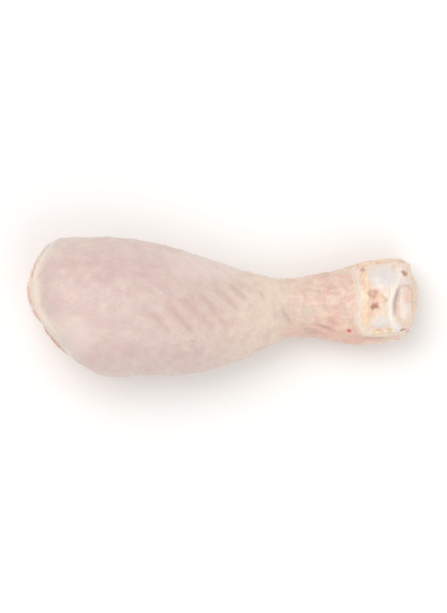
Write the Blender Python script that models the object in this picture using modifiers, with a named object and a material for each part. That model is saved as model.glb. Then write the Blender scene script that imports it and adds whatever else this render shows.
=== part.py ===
"""A raw chicken drumstick lying on its side: the skin, the meat, the leg bone and the gristle of the hock.

Everything is in metres. +X runs along the leg from the knee to the hock, +Z is up, and the origin is on the
surface it lies on, under the middle. The skin and the meat follow one body form: rings whose size, place and
slant are worked out from a short outline. The bone has an outline of its own on the same centre line.
"""

import math

import bmesh
import bpy
from mathutils import Vector

# Driving dimensions.
MIDDLE = 0.0678
CALF_WIDTH = 0.0492
CALF_HEIGHT = 0.0440
ANKLE_WIDTH = 0.0214
ANKLE_HEIGHT = 0.0200
HOCK_WIDTH = 0.0300
HOCK_HEIGHT = 0.0250
SKIN_THICKNESS = 0.0012
GAP = 0.0003
BENEATH_SKIN = SKIN_THICKNESS + GAP + 0.0001

# The body form, from the middle of the knee end to the middle of the hock end: along, half width, half height.
BODY_OUTLINE = (
    (0.0020, 0.0, 0.0),
    (0.0044, 0.0126, 0.0108),
    (0.0110, 0.0203, 0.0178),
    (0.0180, 0.0241, 0.0212),
    (0.0270, CALF_WIDTH / 2, CALF_HEIGHT / 2),
    (0.0430, 0.0236, 0.0212),
    (0.0600, 0.0204, 0.0182),
    (0.0770, 0.0150, 0.0138),
    (0.0905, ANKLE_WIDTH / 2, ANKLE_HEIGHT / 2),
    (0.1050, 0.0127, 0.0107),
    (0.1180, HOCK_WIDTH / 2, HOCK_HEIGHT / 2),
    (0.1280, 0.0146, 0.0125),
    (0.1344, 0.0114, 0.0095),
    (0.1378, 0.0, 0.0),
)

# The bone: the flat knee joint, the shaft, and the two knuckles of the hock.
SHAFT_RADIUS = 0.0037
BONE_OUTLINE = (
    (0.0016, 0.0, 0.0),
    (0.0028, 0.0086, 0.0074),
    (0.0084, 0.0102, 0.0088),
    (0.0210, 0.0060, 0.0054),
    (0.0400, SHAFT_RADIUS, SHAFT_RADIUS),
    (0.0950, SHAFT_RADIUS, SHAFT_RADIUS),
    (0.1090, 0.0066, 0.0052),
    (0.1180, 0.0108, 0.0094),
    (0.1260, 0.0106, 0.0096),
    (0.1305, 0.0062, 0.0056),
    (0.1318, 0.0, 0.0),
)

# How the rings sit: the knee end is cut on a slant, and the leg bows a little to one side and back again.
KNEE_SLANT_ACROSS = 0.33
KNEE_SLANT_UP = 0.22
KNEE_SLANT_FADE = (0.022, 0.052)
KNEE_LEAN = 0.0006
KNEE_LEAN_FADE = (0.020, 0.034)
BOW_DEPTH = 0.0031
BOW_OUT = (0.030, 0.064)
BOW_BACK = (0.072, 0.098)
HOCK_KICK = 0.0029
HOCK_KICK_RANGE = (0.104, 0.138)
CALF_SINK = 0.0016
HOCK_SINK = 0.0004
SPINE_FALL = (0.030, 0.114)

# The muscles under the skin: three shallow lobes round the calf that die out towards the ankle.
LOBE_DEPTH = 0.016
LOBE_TURN = 0.7
LOBE_RANGE = (0.060, 0.090)

# The heads of the muscles at the bare knee end, parted by creases at these angles round the bone.
CREASES = (math.radians(20), math.radians(128), math.radians(205), math.radians(292))
CREASE_DEPTH = 0.0022
CREASE_HALF_WIDTH = math.radians(15)
CREASE_FADE = (0.012, 0.040)

# Where the skin ends: on top it reaches over the knee end and below it has shrunk back. At the hock it runs to
# the end, but a window is open on top that shows the joint.
KNEE_EDGE_TOP = 0.0052
KNEE_EDGE_BELOW = 0.0270
KNEE_EDGE_RIPPLE = 0.0012
HOCK_EDGE = 0.1362
HOCK_EDGE_RIPPLE = 0.00015
WINDOW_ALONG = (0.1160, 0.1500)
WINDOW_ACROSS = (-0.0094, 0.0126)
WINDOW_CORNER = 0.0060
WINDOW_SILL = 0.0030

# The joint: the saddle between the two knuckles, and what is cut out of the gristle over them.
SADDLE_DEPTH = 0.30
SADDLE_HALF_WIDTH = 0.36
SADDLE_RANGE = (0.110, 0.121)
GRISTLE_START = 0.1134
OPENING_CENTRE = (0.1218, 0.0016, 0.0125)
OPENING_RADII = (0.0050, 0.0098, 0.0068)
GROOVE_CENTRE = (0.1322, 0.0016, 0.0082)
GROOVE_RADII = (0.0040, 0.0080)
GROOVE_WIRE = 0.0015
GROOVE_LEAN = math.radians(38)

# How finely the forms are divided.
ROUND = 36
BODY_RINGS = 34
SKIN_RINGS = 30
BONE_ROUND = 20
BONE_RINGS = 32
SMALL_STEP = 1e-4
POLE_SHARE = 0.004

COLOURS = {
    "skin": ((224, 201, 190), 0.38),
    "meat": ((214, 158, 130), 0.30),
    "bone": ((232, 219, 210), 0.25),
    "gristle": ((236, 210, 182), 0.32),
}


def linear(channel):
    """A colour channel, 0 to 255 as a screen shows it, as the linear value that a shader takes."""
    value = channel / 255
    return value / 12.92 if value <= 0.04045 else ((value + 0.055) / 1.055) ** 2.4


def fade(value, limits):
    """0 below the lower limit, 1 above the upper one, and a smooth rise between them."""
    share = min(1.0, max(0.0, (value - limits[0]) / (limits[1] - limits[0])))
    return share * share * (3 - 2 * share)


def mix(first, second, share):
    return first + (second - first) * share


class Outline:
    """A smooth line through an outline's stations, which meets the axis squarely at both of its ends."""

    def __init__(self, stations):
        first = (stations[1][0], -stations[1][1], -stations[1][2])
        last = (stations[-2][0], -stations[-2][1], -stations[-2][2])
        self.points = [Vector(station) for station in (first, *stations, last)]
        self.marks = [0.0]
        for before, after in zip(self.points, self.points[1:]):
            self.marks.append(self.marks[-1] + (after - before).length)

    def at(self, share):
        """(along, half width, half height) at a share of the way from the first station to the last."""
        mark = mix(self.marks[1], self.marks[-2], share)
        i = 1
        while i < len(self.marks) - 3 and mark > self.marks[i + 1]:
            i += 1
        span = self.marks[i + 1] - self.marks[i]
        t = (mark - self.marks[i]) / span
        leaving = self.slope(i) * span
        arriving = self.slope(i + 1) * span
        return (
            self.points[i] * (2 * t**3 - 3 * t**2 + 1)
            + leaving * (t**3 - 2 * t**2 + t)
            + self.points[i + 1] * (3 * t**2 - 2 * t**3)
            + arriving * (t**3 - t**2)
        )

    def slope(self, i):
        return (self.points[i + 1] - self.points[i - 1]) / (self.marks[i + 1] - self.marks[i - 1])

    def share_at(self, along):
        """The share at which the line reaches a place along the leg."""
        low, high = 0.0, 1.0
        for _ in range(30):
            middle = (low + high) / 2
            if self.at(middle)[0] < along:
                low = middle
            else:
                high = middle
        return low


BODY = Outline(BODY_OUTLINE)
BONE = Outline(BONE_OUTLINE)


def centre_line(along):
    """(to the side, height) of the leg's centre line."""
    lean = -KNEE_LEAN * (1 - fade(along, KNEE_LEAN_FADE))
    bow = -BOW_DEPTH * (fade(along, BOW_OUT) - fade(along, BOW_BACK))
    kick = HOCK_KICK * fade(along, HOCK_KICK_RANGE)
    calf_height = CALF_HEIGHT / 2 - CALF_SINK
    hock_height = HOCK_HEIGHT / 2 - HOCK_SINK
    return lean + bow + kick, mix(calf_height, hock_height, fade(along, SPINE_FALL))


def in_frame(along, across, up):
    """The point this far along, across and up from the centre line, slanted with the knee end."""
    side, height = centre_line(along)
    slant = 1 - fade(along, KNEE_SLANT_FADE)
    back = slant * (KNEE_SLANT_ACROSS * across + KNEE_SLANT_UP * up)
    return Vector((along - back - MIDDLE, side + across, height + up))


def body_surface(share, angle):
    """A point of the body form. The angle turns from the +Y side, over the top."""
    along, half_width, half_height = BODY.at(share)
    lobes = 1 + LOBE_DEPTH * math.cos(3 * angle + LOBE_TURN) * (1 - fade(along, LOBE_RANGE))
    return in_frame(along, half_width * lobes * math.cos(angle), half_height * lobes * math.sin(angle))


def bone_surface(share, angle):
    """A point of the bone. Between the knuckles the top dips into a saddle."""
    along, half_width, half_height = BONE.at(share)
    saddle = math.exp(-((math.cos(angle) / SADDLE_HALF_WIDTH) ** 2)) * fade(along, SADDLE_RANGE)
    if math.sin(angle) > 0:
        half_height *= 1 - SADDLE_DEPTH * saddle
    return in_frame(along, half_width * math.cos(angle), half_height * math.sin(angle))


def shifted(surface, share, angle, distance):
    """A point of the surface moved outwards by a distance, or inwards if it is negative."""
    share_near = min(1 - POLE_SHARE, max(POLE_SHARE, share))
    ahead = surface(share_near + SMALL_STEP, angle) - surface(share_near - SMALL_STEP, angle)
    round_it = surface(share_near, angle + SMALL_STEP) - surface(share_near, angle - SMALL_STEP)
    return surface(share, angle) + round_it.cross(ahead).normalized() * distance


def crease_depth(share, angle):
    """How far the meat dips between two muscle heads, which close up under the skin."""
    depth = 0.0
    for crease in CREASES:
        turned = math.remainder(angle - crease, math.tau) / CREASE_HALF_WIDTH
        depth += CREASE_DEPTH * math.exp(-turned * turned)
    return depth * (1 - fade(BODY.at(share)[0], CREASE_FADE))


def beneath_skin(share, angle):
    """A point of the form that the skin wraps, flattened where the leg rests."""
    point = shifted(body_surface, share, angle, -BENEATH_SKIN - crease_depth(share, angle))
    point.z = max(point.z, BENEATH_SKIN)
    return point


def bone_itself(share, angle):
    return bone_surface(share, angle)


def bone_with_gap(share, angle):
    return shifted(bone_surface, share, angle, GAP)


def knee_edge(angle):
    """How far along the leg the skin starts, at an angle round it."""
    below = (1 - math.sin(angle)) / 2
    ripple = math.sin(5 * angle + 0.6) + 0.6 * math.sin(8 * angle + 2.1)
    return mix(KNEE_EDGE_TOP, KNEE_EDGE_BELOW, below) + KNEE_EDGE_RIPPLE * ripple * below


def hock_edge(angle):
    """How far along the leg the skin ends, at an angle round it."""
    return HOCK_EDGE + HOCK_EDGE_RIPPLE * math.sin(5 * angle + 0.4)


def new_material(name):
    colour, roughness = COLOURS[name]
    material = bpy.data.materials.new(name)
    material.use_nodes = True
    shader = material.node_tree.nodes["Principled BSDF"]
    shader.inputs["Base Color"].default_value = (*[linear(channel) for channel in colour], 1.0)
    shader.inputs["Roughness"].default_value = roughness
    shader.inputs["Metallic"].default_value = 0.0
    return material


def new_object(name, bm, collection):
    mesh = bpy.data.meshes.new(name)
    bm.to_mesh(mesh)
    bm.free()
    mesh.shade_smooth()
    made = bpy.data.objects.new(name, mesh)
    collection.objects.link(made)
    return made


def closed_form(surface, around, rings):
    """A sphere whose points are carried onto a surface that closes at both ends."""
    bm = bmesh.new()
    bmesh.ops.create_uvsphere(bm, u_segments=around, v_segments=rings, radius=1.0)
    for vertex in bm.verts:
        share = math.acos(min(1.0, max(-1.0, vertex.co.z))) / math.pi
        angle = math.atan2(vertex.co.y, vertex.co.x)
        vertex.co = surface(share, angle)
    bm.normal_update()
    bmesh.ops.recalc_face_normals(bm, faces=bm.faces)
    return bm


def cut_across(bm, along, keep_hock_side):
    """Cuts a closed form straight across and closes the cut."""
    bmesh.ops.bisect_plane(
        bm,
        geom=bm.verts[:] + bm.edges[:] + bm.faces[:],
        plane_co=(along - MIDDLE, 0, 0),
        plane_no=(1, 0, 0),
        clear_inner=keep_hock_side,
        clear_outer=not keep_hock_side,
    )
    rim = [edge for edge in bm.edges if edge.is_boundary]
    bmesh.ops.edgeloop_fill(bm, edges=rim)
    bmesh.ops.recalc_face_normals(bm, faces=bm.faces)


def cut_with(piece, cutter):
    cut = piece.modifiers.new(f"cut by {cutter.name}", "BOOLEAN")
    cut.operation = "DIFFERENCE"
    cut.object = cutter


def new_cutter(name, bm, collection):
    cutter = new_object(name, bm, collection)
    cutter.hide_render = True
    cutter.display_type = "WIRE"
    return cutter


def make_skin(collection, window):
    """The skin: a grid wrapped round the form between its two edges, thickened inwards, with its window."""
    bm = bmesh.new()
    bmesh.ops.create_grid(bm, x_segments=SKIN_RINGS, y_segments=ROUND, size=0.5)
    for vertex in bm.verts:
        angle = math.tau * (vertex.co.y + 0.5)
        start = BODY.share_at(knee_edge(angle))
        end = BODY.share_at(hock_edge(angle))
        vertex.co = body_surface(mix(end, start, vertex.co.x + 0.5), angle)
        vertex.co.z = max(vertex.co.z, 0.0)
    bmesh.ops.remove_doubles(bm, verts=bm.verts, dist=1e-6)
    skin = new_object("skin", bm, collection)
    thick = skin.modifiers.new("thickness", "SOLIDIFY")
    thick.thickness = SKIN_THICKNESS
    thick.offset = -1
    thick.use_even_offset = True
    cut_with(skin, window)
    return skin


def make_bone(collection):
    return new_object("bone", closed_form(bone_itself, BONE_ROUND, BONE_RINGS), collection)


def make_meat(collection, bone_space):
    bm = closed_form(beneath_skin, ROUND, BODY_RINGS)
    cut_across(bm, GRISTLE_START - GAP, keep_hock_side=False)
    meat = new_object("meat", bm, collection)
    cut_with(meat, bone_space)
    return meat


def make_gristle(collection, cutters):
    bm = closed_form(beneath_skin, ROUND, BODY_RINGS)
    cut_across(bm, GRISTLE_START, keep_hock_side=True)
    gristle = new_object("gristle", bm, collection)
    for cutter in cutters:
        cut_with(gristle, cutter)
    return gristle


def skin_window(collection):
    """Cuts the window in the skin: a block with rounded upright edges that stands over the hock."""
    bm = bmesh.new()
    bmesh.ops.create_cube(bm, size=1.0)
    sill = centre_line(WINDOW_ALONG[0])[1] + WINDOW_SILL
    for vertex in bm.verts:
        vertex.co = (
            WINDOW_ALONG[vertex.co.x > 0] - MIDDLE,
            WINDOW_ACROSS[vertex.co.y > 0],
            sill + (HOCK_HEIGHT if vertex.co.z > 0 else 0.0),
        )
    upright = [edge for edge in bm.edges if edge.verts[0].co.xy == edge.verts[1].co.xy]
    bmesh.ops.bevel(bm, geom=upright, offset=WINDOW_CORNER, segments=6, profile=0.5, affect="EDGES")
    bmesh.ops.recalc_face_normals(bm, faces=bm.faces)
    return new_cutter("skin_window", bm, collection)


def joint_opening(collection):
    """Cuts away the gristle over the knuckles."""
    bm = bmesh.new()
    bmesh.ops.create_uvsphere(bm, u_segments=20, v_segments=12, radius=1.0)
    height = centre_line(OPENING_CENTRE[0])[1]
    opening = new_cutter("joint_opening", bm, collection)
    opening.scale = OPENING_RADII
    opening.location = (OPENING_CENTRE[0] - MIDDLE, OPENING_CENTRE[1], height + OPENING_CENTRE[2])
    return opening


def joint_groove(collection):
    """A ring that cuts the groove round the pad at the end of the hock."""
    bpy.ops.mesh.primitive_torus_add(
        major_segments=28, minor_segments=8, major_radius=1.0, minor_radius=GROOVE_WIRE / GROOVE_RADII[0]
    )
    groove = bpy.context.active_object
    groove.name = "joint_groove"
    for owner in groove.users_collection:
        owner.objects.unlink(groove)
    collection.objects.link(groove)
    height = centre_line(GROOVE_CENTRE[0])[1]
    groove.scale = (GROOVE_RADII[0], GROOVE_RADII[1], GROOVE_RADII[0])
    groove.rotation_euler = (0, GROOVE_LEAN, 0)
    groove.location = (GROOVE_CENTRE[0] - MIDDLE, GROOVE_CENTRE[1], height + GROOVE_CENTRE[2])
    groove.hide_render = True
    groove.display_type = "WIRE"
    return groove


def main():
    for leftover in list(bpy.data.objects):
        bpy.data.objects.remove(leftover)
    drumstick = bpy.data.collections.new("drumstick")
    cutters = bpy.data.collections.new("cutters")
    bpy.context.scene.collection.children.link(drumstick)
    bpy.context.scene.collection.children.link(cutters)

    bone_space = new_cutter("bone_space", closed_form(bone_with_gap, BONE_ROUND, BONE_RINGS), cutters)
    joint_cuts = (bone_space, joint_opening(cutters), joint_groove(cutters))
    pieces = (
        make_skin(drumstick, skin_window(cutters)),
        make_meat(drumstick, bone_space),
        make_bone(drumstick),
        make_gristle(drumstick, joint_cuts),
    )
    for piece in pieces:
        piece.data.materials.append(new_material(piece.name))


main()
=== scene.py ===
"""The looks of a raw chicken drumstick on a pale table: moist skin, bare meat, leg bone and hock.

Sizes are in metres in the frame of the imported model: +X runs along the leg from the knee to the hock,
+Y is across it and +Z is up. Paths and patches drawn on the leg are given as seen from above, as
(along, across) in millimetres from the knee tip.
"""

import math
import random

import bpy
import numpy as np
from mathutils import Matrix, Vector, noise
from mathutils.kdtree import KDTree


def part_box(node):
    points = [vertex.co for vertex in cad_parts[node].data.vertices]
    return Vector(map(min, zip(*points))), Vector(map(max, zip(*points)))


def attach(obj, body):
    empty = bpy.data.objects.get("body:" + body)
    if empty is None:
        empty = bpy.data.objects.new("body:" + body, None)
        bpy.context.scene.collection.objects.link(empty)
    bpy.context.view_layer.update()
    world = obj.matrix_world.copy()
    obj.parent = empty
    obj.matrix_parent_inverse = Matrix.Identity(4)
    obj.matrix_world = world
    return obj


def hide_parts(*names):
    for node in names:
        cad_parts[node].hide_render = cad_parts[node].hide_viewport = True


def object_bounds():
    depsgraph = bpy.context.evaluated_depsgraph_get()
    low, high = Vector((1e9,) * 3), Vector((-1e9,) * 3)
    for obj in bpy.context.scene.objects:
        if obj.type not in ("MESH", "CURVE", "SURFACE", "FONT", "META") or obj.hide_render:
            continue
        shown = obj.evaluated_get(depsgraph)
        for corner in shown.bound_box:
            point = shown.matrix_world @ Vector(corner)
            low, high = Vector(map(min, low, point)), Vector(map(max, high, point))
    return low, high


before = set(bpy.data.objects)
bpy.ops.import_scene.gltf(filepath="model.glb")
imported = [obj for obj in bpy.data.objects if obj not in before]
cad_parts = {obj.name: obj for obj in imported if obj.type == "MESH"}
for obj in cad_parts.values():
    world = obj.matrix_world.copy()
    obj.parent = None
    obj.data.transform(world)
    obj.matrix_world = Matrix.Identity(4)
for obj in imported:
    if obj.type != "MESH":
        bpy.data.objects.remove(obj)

CAD_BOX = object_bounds()
MM = 0.001

# The skin's box in the frame gives the place of the knee tip and the width of the calf.
SKIN_LOW, SKIN_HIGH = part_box("skin")
KNEE_TIP_TO_SKIN_END = 136.35 * MM
LOBES_ADD = 0.31 * MM
KNEE_TIP = SKIN_HIGH.x - KNEE_TIP_TO_SKIN_END
CALF_WIDTH = SKIN_HIGH.y - SKIN_LOW.y - LOBES_ADD
CALF_HEIGHT = 44.0 * MM
ANKLE_WIDTH = 21.4 * MM
ANKLE_HEIGHT = 20.0 * MM
HOCK_WIDTH = 30.0 * MM
HOCK_HEIGHT = 25.0 * MM
SKIN_THICKNESS = 1.2 * MM
BENEATH_SKIN = 1.6 * MM
LIMB_RADIUS = 14 * MM
LEG_REACH = 150 * MM

# The forms of the leg and its bone, each from the middle of one end to the middle of the other:
# (along, half width, half height).
LEG_STATIONS = (
    (0.0020, 0.0, 0.0), (0.0044, 0.0126, 0.0108), (0.0110, 0.0203, 0.0178),
    (0.0180, 0.0241, 0.0212), (0.0270, CALF_WIDTH / 2, CALF_HEIGHT / 2), (0.0430, 0.0236, 0.0212),
    (0.0600, 0.0204, 0.0182), (0.0770, 0.0150, 0.0138), (0.0905, ANKLE_WIDTH / 2, ANKLE_HEIGHT / 2),
    (0.1050, 0.0127, 0.0107), (0.1180, HOCK_WIDTH / 2, HOCK_HEIGHT / 2), (0.1280, 0.0146, 0.0125),
    (0.1344, 0.0114, 0.0095), (0.1378, 0.0, 0.0),
)
BONE_STATIONS = (
    (0.0016, 0.0, 0.0), (0.0028, 0.0086, 0.0074), (0.0084, 0.0102, 0.0088),
    (0.0210, 0.0060, 0.0054), (0.0400, 0.0037, 0.0037), (0.0950, 0.0037, 0.0037),
    (0.1090, 0.0066, 0.0052), (0.1180, 0.0108, 0.0094), (0.1260, 0.0106, 0.0096),
    (0.1305, 0.0062, 0.0056), (0.1318, 0.0, 0.0),
)
OUTLINE_FINENESS = 4000

# The centre line, and how the knee end slants; a pair is where along the leg a change starts and ends.
KNEE_SLANT_ACROSS, KNEE_SLANT_UP = 0.33, 0.22
KNEE_SLANT_FADE = (0.022, 0.052)
KNEE_LEAN, KNEE_LEAN_FADE = 0.6 * MM, (0.020, 0.034)
BOW_DEPTH, BOW_OUT, BOW_BACK = 3.1 * MM, (0.030, 0.064), (0.072, 0.098)
HOCK_KICK, HOCK_KICK_RANGE = 2.9 * MM, (0.104, 0.138)
CALF_SINK, HOCK_SINK = 1.6 * MM, 0.4 * MM
SPINE_FALL = (0.030, 0.114)
LOBE_DEPTH, LOBE_TURN, LOBE_RANGE = 0.016, 0.7, (0.060, 0.090)
SADDLE_DEPTH, SADDLE_HALF_WIDTH, SADDLE_RANGE = 0.30, 0.36, (0.110, 0.121)
SMALL_STEP = 1e-4
POLE_SHARE = 0.004


# ---- Hand tools: picking pieces up, shaping their points, applying what was put on them ----


def put_down():
    bpy.ops.object.select_all(action="DESELECT")


def pick_up(piece):
    put_down()
    piece.select_set(True)
    bpy.context.view_layer.objects.active = piece


def named(name):
    """Names the primitive that was just added, with its place in its mesh."""
    piece = bpy.context.active_object
    piece.name = name
    piece.data.name = name
    bpy.ops.object.transform_apply(location=True, rotation=True, scale=True)
    return piece


def points_of(piece):
    flat = np.empty(len(piece.data.vertices) * 3)
    piece.data.vertices.foreach_get("co", flat)
    return flat.reshape(-1, 3)


def set_points(piece, points):
    piece.data.vertices.foreach_set("co", np.asarray(points, float).ravel())
    piece.data.update()


def paint(piece, mark, values):
    """Keeps a value at each point, for the piece's material to read."""
    layer = piece.data.attributes.new(mark, "FLOAT", "POINT")
    layer.data.foreach_set("value", np.asarray(values, np.float32))


def smooth(piece):
    pick_up(piece)
    bpy.ops.object.shade_smooth()


def ease(values, low, high):
    """0 up to low, 1 from high on, and a soft rise between them."""
    share = np.clip((np.asarray(values, float) - low) / (high - low), 0.0, 1.0)
    return share * share * (3 - 2 * share)


def most(layers):
    """The highest of several values at each point."""
    return np.max(list(layers), axis=0)


def hump(values, middle, spread):
    return np.exp(-(((np.asarray(values, float) - middle) / spread) ** 2))


def cloud(points, size, layer, octaves=1):
    """Soft uneven values from about -1 to 1, with lumps of this size, or sizes, in millimetres."""
    scale = 1 / (np.broadcast_to(np.asarray(size, float), (3,)) * MM)
    moved = points * scale + np.array((17.3, 5.1, 9.7)) * (layer + 1)
    total = np.zeros(len(points))
    for octave in range(octaves):
        finer = moved * 2**octave
        total += np.array([noise.noise(Vector(p)) for p in finer]) / 1.8**octave
    return total


# ---- The form of the leg ----


class Outline:
    """A smooth line through stations, which meets the axis squarely at both of its ends."""

    def __init__(self, stations):
        points = np.array(stations)
        flip = np.array((1, -1, -1))
        points = np.vstack((points[1] * flip, points, points[-2] * flip))
        steps = np.linalg.norm(np.diff(points, axis=0), axis=1)
        marks = np.concatenate(((0.0,), np.cumsum(steps)))
        slopes = (points[2:] - points[:-2]) / (marks[2:] - marks[:-2])[:, None]
        self.share = np.linspace(0, 1, OUTLINE_FINENESS)
        at = marks[1] + (marks[-2] - marks[1]) * self.share
        i = np.clip(np.searchsorted(marks, at, side="right") - 1, 1, len(points) - 3)
        span = (marks[i + 1] - marks[i])[:, None]
        t = (at - marks[i])[:, None] / span
        self.line = (
            points[i] * (2 * t**3 - 3 * t**2 + 1)
            + slopes[i - 1] * span * (t**3 - 2 * t**2 + t)
            + points[i + 1] * (3 * t**2 - 2 * t**3)
            + slopes[i] * span * (t**3 - t**2)
        )

    def at(self, share):
        return [np.interp(share, self.share, column) for column in self.line.T]

    def share_at(self, along):
        return np.interp(along, self.line[:, 0], self.share)


LEG = Outline(LEG_STATIONS)
BONE = Outline(BONE_STATIONS)


def centre_line(along):
    """(to the side, height) of the leg's centre line."""
    lean = -KNEE_LEAN * (1 - ease(along, *KNEE_LEAN_FADE))
    bow = -BOW_DEPTH * (ease(along, *BOW_OUT) - ease(along, *BOW_BACK))
    kick = HOCK_KICK * ease(along, *HOCK_KICK_RANGE)
    calf = CALF_HEIGHT / 2 - CALF_SINK
    hock = HOCK_HEIGHT / 2 - HOCK_SINK
    return lean + bow + kick, calf + (hock - calf) * ease(along, *SPINE_FALL)


def in_frame(along, across, up):
    """Points this far along, across and up from the centre line, slanted with the knee end."""
    side, height = centre_line(along)
    slant = 1 - ease(along, *KNEE_SLANT_FADE)
    back = slant * (KNEE_SLANT_ACROSS * across + KNEE_SLANT_UP * up)
    return np.stack((KNEE_TIP + along - back, side + across, height + up), axis=-1)


def leg_surface(share, angle):
    """Points of the leg's form. The angle turns from the +Y side, over the top."""
    along, half_width, half_height = LEG.at(share)
    lobes = 1 + LOBE_DEPTH * np.cos(3 * angle + LOBE_TURN) * (1 - ease(along, *LOBE_RANGE))
    return in_frame(along, half_width * lobes * np.cos(angle), half_height * lobes * np.sin(angle))


def bone_surface(share, angle):
    """Points of the bone. Between the hock's knuckles the top dips into a saddle."""
    along, half_width, half_height = BONE.at(share)
    saddle = np.exp(-((np.cos(angle) / SADDLE_HALF_WIDTH) ** 2)) * ease(along, *SADDLE_RANGE)
    half_height = half_height * np.where(np.sin(angle) > 0, 1 - SADDLE_DEPTH * saddle, 1.0)
    return in_frame(along, half_width * np.cos(angle), half_height * np.sin(angle))


def outward(surface, share, angle):
    """The directions in which a surface faces."""
    near = np.clip(share, POLE_SHARE, 1 - POLE_SHARE)
    ahead = surface(near + SMALL_STEP, angle) - surface(near - SMALL_STEP, angle)
    round_it = surface(near, angle + SMALL_STEP) - surface(near, angle - SMALL_STEP)
    facing = np.cross(round_it, ahead)
    return facing / np.linalg.norm(facing, axis=1)[:, None]


TIP_BLUR = 0.02


def place(along, across):
    """(x, y) in the frame of a place on the leg as seen from above, in millimetres from the knee tip."""
    return KNEE_TIP + along * MM, across * MM


def stroke(points, path, width, tips):
    """How near each point is to a line drawn on the leg from above: 1 on it, 0 away from it.

    It thins out over this share of its length at each tip.
    """
    line = np.array([place(*mark) for mark in path])
    steps = np.diff(line, axis=0)
    lengths = np.linalg.norm(steps, axis=1)
    before = np.concatenate(((0.0,), np.cumsum(lengths)))
    best = np.full(len(points), 1e9)
    where = np.zeros(len(points))
    for start, step, length, mark in zip(line, steps, lengths, before):
        off = points[:, :2] - start
        t = np.clip(off @ step / length**2, 0, 1)
        distance = np.linalg.norm(off - t[:, None] * step, axis=1)
        nearer = distance < best
        best = np.where(nearer, distance, best)
        where = np.where(nearer, (mark + t * length) / before[-1], where)
    strength = np.exp(-((best / (width * MM)) ** 2))
    if tips > 0:
        strength *= ease(where, -TIP_BLUR, tips) * ease(1 - where, -TIP_BLUR, tips)
    return strength


def spot(points, middle, radii, turn=0.0):
    """How near each point is to an oval patch seen from above: 1 in the middle, 0 from its edge on."""
    x, y = place(*middle)
    across, up = points[:, 0] - x, points[:, 1] - y
    first = (across * math.cos(turn) + up * math.sin(turn)) / (radii[0] * MM)
    second = (up * math.cos(turn) - across * math.sin(turn)) / (radii[1] * MM)
    return np.clip(1 - first**2 - second**2, 0, 1)


def ragged(angle, pace, layer):
    """Uneven values from about -1 to 1 that close up round the leg, quicker with a higher pace."""
    apart = np.full_like(angle, 7.3 * layer)
    turns = np.stack((np.cos(angle) * pace, np.sin(angle) * pace, apart), axis=-1)
    return np.array([noise.noise(Vector(turn)) for turn in turns])


# Across and along, in millimetres, of the cut where the skin was opened over the hock.
WINDOW_CUT = (
    (-10.0, 117.4), (-7.6, 115.6), (-5.0, 114.5), (-1.6, 114.2),
    (3.6, 115.6), (10.0, 114.2), (15.0, 113.0),
)
# The hock's middle and half width there, in millimetres, for reading the cut at an angle round the leg.
CUT_MIDDLE, CUT_REACH = 1.0, 14.3
# The window's two corners, in degrees round the leg from the +Y side, over the top.
WINDOW_NEAR_CORNER, WINDOW_FAR_CORNER = (10, 17), (136, 145)
KNEE_EDGE_TOP, KNEE_EDGE_DROP = 0.0052, 0.0218
# Where the skin ends, and how much sooner at the sides, in millimetres.
HOCK_EDGE_END, HOCK_EDGE_SIDES = 133.8, 2.6
EDGE_FINENESS = 4321
JOINT_START = 110 * MM
SWAY_TURN, SWAY_SIZE, SWAY_RISE = 0.05, 3.4, (0.1165, 0.1200)


class SkinEdge:
    """An edge of the skin that runs round the leg: how far along the leg it lies at each angle."""

    def __init__(self, places):
        self.angles = np.linspace(0, math.tau, EDGE_FINENESS)
        self.places = places(self.angles)
        self.tree = KDTree(len(self.angles))
        for number, point in enumerate(self.on_limb(self.places, self.angles)):
            self.tree.insert(point, number)
        self.tree.balance()

    @staticmethod
    def on_limb(along, angle):
        """Points of a straight limb of even thickness, on which the distance from an edge is measured."""
        return np.stack((along, LIMB_RADIUS * np.cos(angle), LIMB_RADIUS * np.sin(angle)), axis=-1)

    def at(self, angle):
        return np.interp(np.mod(angle, math.tau), self.angles, self.places)

    def past(self, along, angle):
        """How many millimetres a point lies beyond the edge, or, below 0, before it."""
        distance = np.array([self.tree.find(point)[2] for point in self.on_limb(along, angle)]) / MM
        return np.where(along > self.at(angle), distance, -distance)


def window(angle):
    """1 where the skin is open over the hock and 0 round the rest of the leg."""
    turn = np.degrees(np.mod(angle, math.tau))
    return ease(turn, *WINDOW_NEAR_CORNER) * (1 - ease(turn, *WINDOW_FAR_CORNER))


def knee_edge(angle):
    """Where the skin starts, at an angle round the leg: ragged below, where it has shrunk back."""
    below = (1 - np.sin(angle)) / 2
    ripple = np.sin(5 * angle + 0.6) + 0.6 * np.sin(8 * angle + 2.1)
    fray = 0.9 * ragged(angle, 4, 1) + 0.7 * ragged(angle, 11, 2) + 0.4 * ragged(angle, 26, 3)
    uneven = 1.3 * ripple * below + fray * (0.35 + 0.85 * below)
    return KNEE_EDGE_TOP + KNEE_EDGE_DROP * below + MM * uneven


def hock_edge(angle):
    """Where the skin ends: near the far end all round, but short of the open joint on top."""
    fray = 0.9 * ragged(angle, 4, 5) + 0.55 * ragged(angle, 13, 6) + 0.3 * ragged(angle, 30, 7)
    end = HOCK_EDGE_END - HOCK_EDGE_SIDES * np.cos(angle) ** 2
    across, cut = np.array(WINDOW_CUT).T
    short = np.interp(CUT_MIDDLE + CUT_REACH * np.cos(angle), across, cut)
    return (end + (short - end) * window(angle) + fray * (1 - 0.5 * window(angle))) * MM


KNEE_EDGE = SkinEdge(knee_edge)
HOCK_EDGE = SkinEdge(hock_edge)


def sway(along, angle):
    """How far the tissue beside the open hock wanders round the leg, in radians."""
    line = np.stack((along, 0.03 * np.cos(angle), np.zeros_like(along)), axis=-1)
    return SWAY_TURN * cloud(line, SWAY_SIZE, 40, 2) * ease(along, *SWAY_RISE)


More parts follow.
